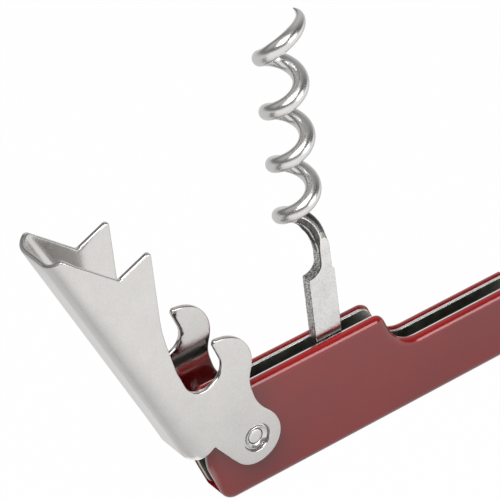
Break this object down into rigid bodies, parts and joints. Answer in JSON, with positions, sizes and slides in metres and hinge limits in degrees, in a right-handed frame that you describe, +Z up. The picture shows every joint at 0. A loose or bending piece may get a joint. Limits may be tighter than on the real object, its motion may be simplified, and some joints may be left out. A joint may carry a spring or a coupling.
{
  "type": "waiter's corkscrew",
  "caption": "Folding waiter's corkscrew with a red steel handle, a swinging bottle lever with a cap lifter, a steel worm and a short foil blade.",
  "frame": {"origin": "middle of the flat underside of the handle, half way along it and half way across it", "axes": "+X along the handle from the lever to the blade, Y across its thickness, +Z up out of its slot"},
  "size_m": [0.1359, 0.013, 0.0834],
  "materials": {
    "red_lacquer": "glossy red lacquer on folded steel",
    "satin_steel": "satin stainless sheet",
    "polished_steel": "polished, bright",
    "spring_steel": "dark hardened spring steel"
  },
  "bodies": {
    "handle": {"handle_shell": "red_lacquer", "front_liner": "satin_steel", "rear_liner": "satin_steel", "back_spring": "spring_steel", "lever_bush": "polished_steel", "worm_pin": "polished_steel", "knife_pin": "polished_steel", "spring_pin": "polished_steel"},
    "lever": {"lever": "satin_steel", "lever_rivet": "polished_steel", "front_rivet_washer": "polished_steel", "rear_rivet_washer": "polished_steel"},
    "worm": {"worm": "polished_steel"},
    "knife": {"knife_blade": "satin_steel"}
  },
  "joints": [
    {"name": "lever_swing", "type": "hinge", "parent": "handle", "child": "lever", "pos_m": [-0.04785, 0, 0.01298], "axis": [0, 1, 0], "range_deg": [-60, 44]},
    {"name": "worm_fold", "type": "hinge", "parent": "handle", "child": "worm", "pos_m": [-0.02775, 0, 0.01525], "axis": [0, 1, 0], "range_deg": [0, 90]},
    {"name": "knife_fold", "type": "hinge", "parent": "handle", "child": "knife", "pos_m": [0.0493, 0, 0.00701], "axis": [0, 1, 0], "range_deg": [0, 180]}
  ]
}
